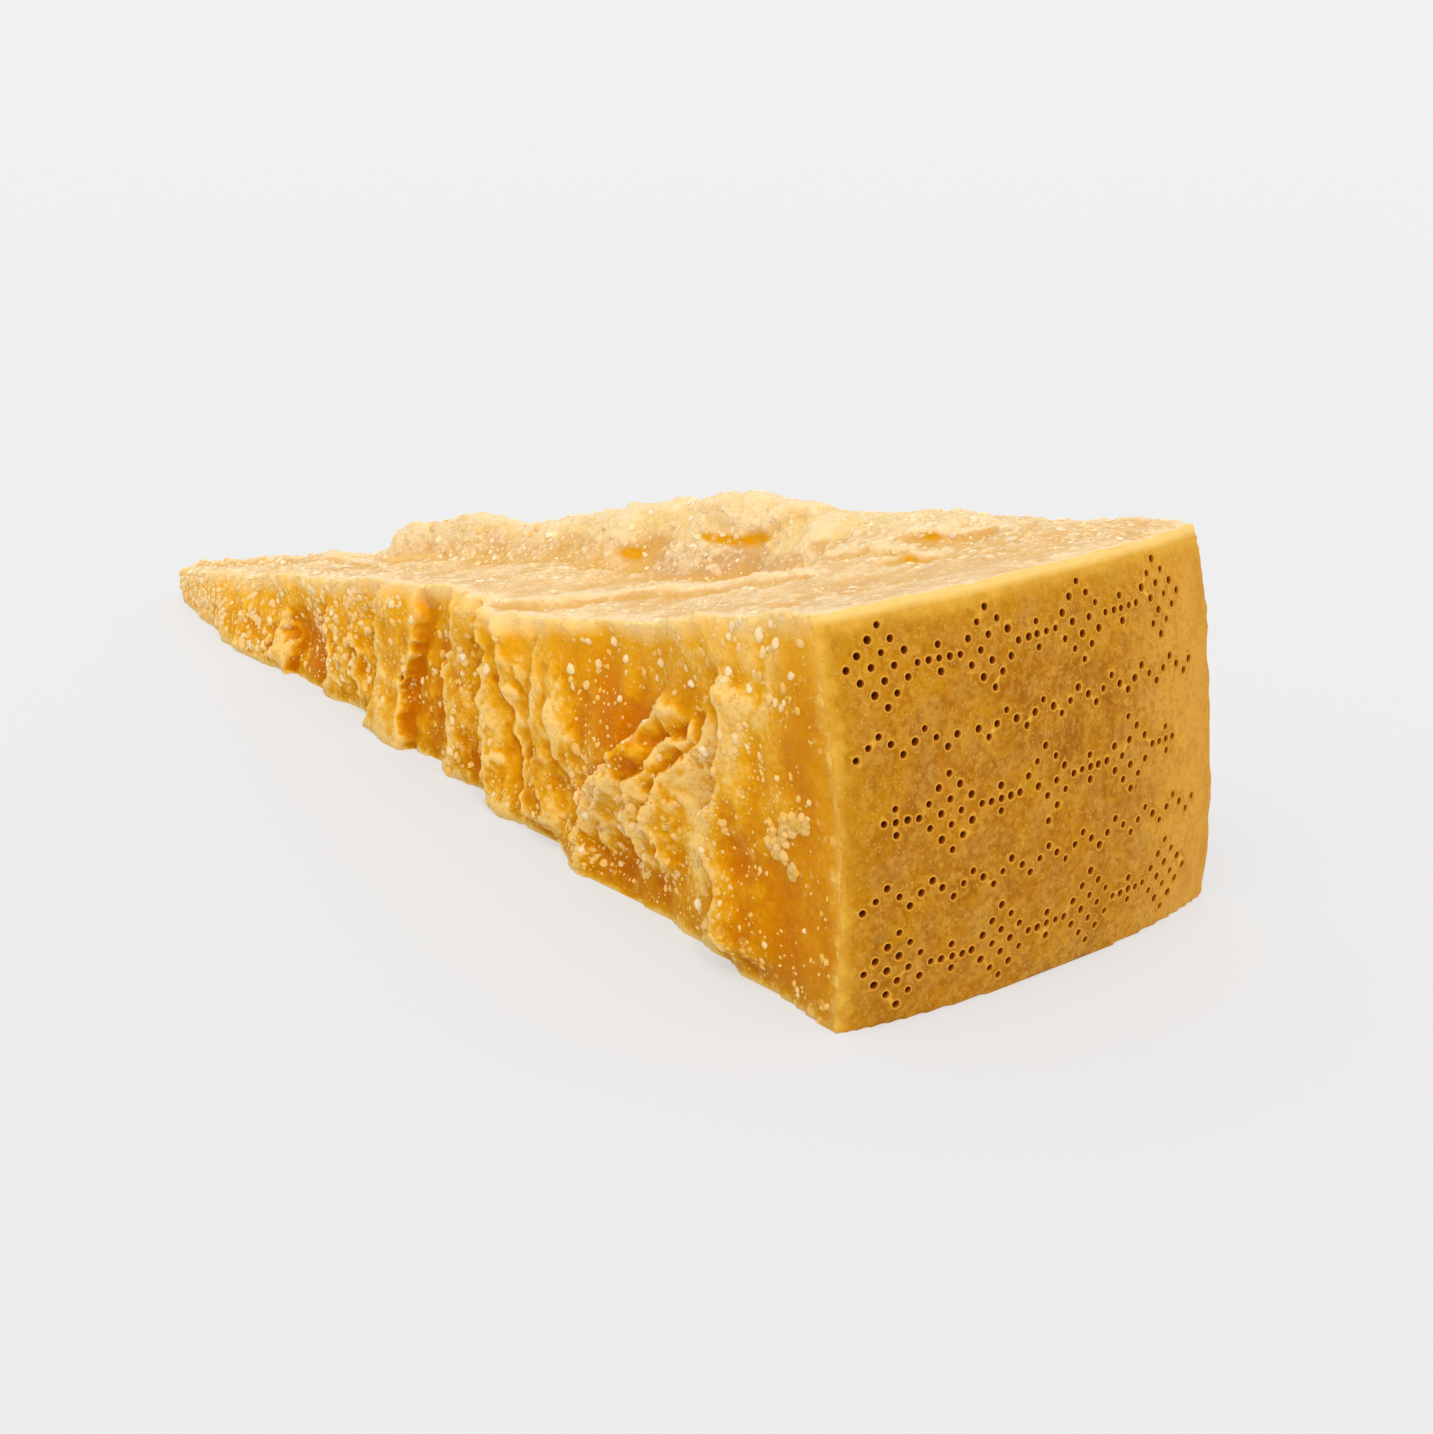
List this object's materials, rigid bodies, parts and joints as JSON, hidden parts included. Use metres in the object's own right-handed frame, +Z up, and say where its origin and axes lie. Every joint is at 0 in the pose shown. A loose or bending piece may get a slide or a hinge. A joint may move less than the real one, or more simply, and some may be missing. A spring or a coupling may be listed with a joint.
{
  "type": "parmesan chunk",
  "caption": "Wedge of hard aged cheese with a thin tip, craggy broken sides and top, and a dotted, slightly bulging rind; lies on its flat cut.",
  "frame": {"origin": "middle of the underside: the centre of the bounding box in X and Y, on the flat cut that the wedge lies on", "axes": "+X from the thin tip to the rind, +Y to the far broken side, +Z up from the flat cut"},
  "size_m": [0.2098, 0.0628, 0.0474],
  "materials": {
    "cheese": "aged hard cheese: golden, slightly translucent paste with pale broken ridges and white crystals, and a matte amber rind"
  },
  "bodies": {
    "root": {"cheese": "cheese"}
  },
  "joints": []
}
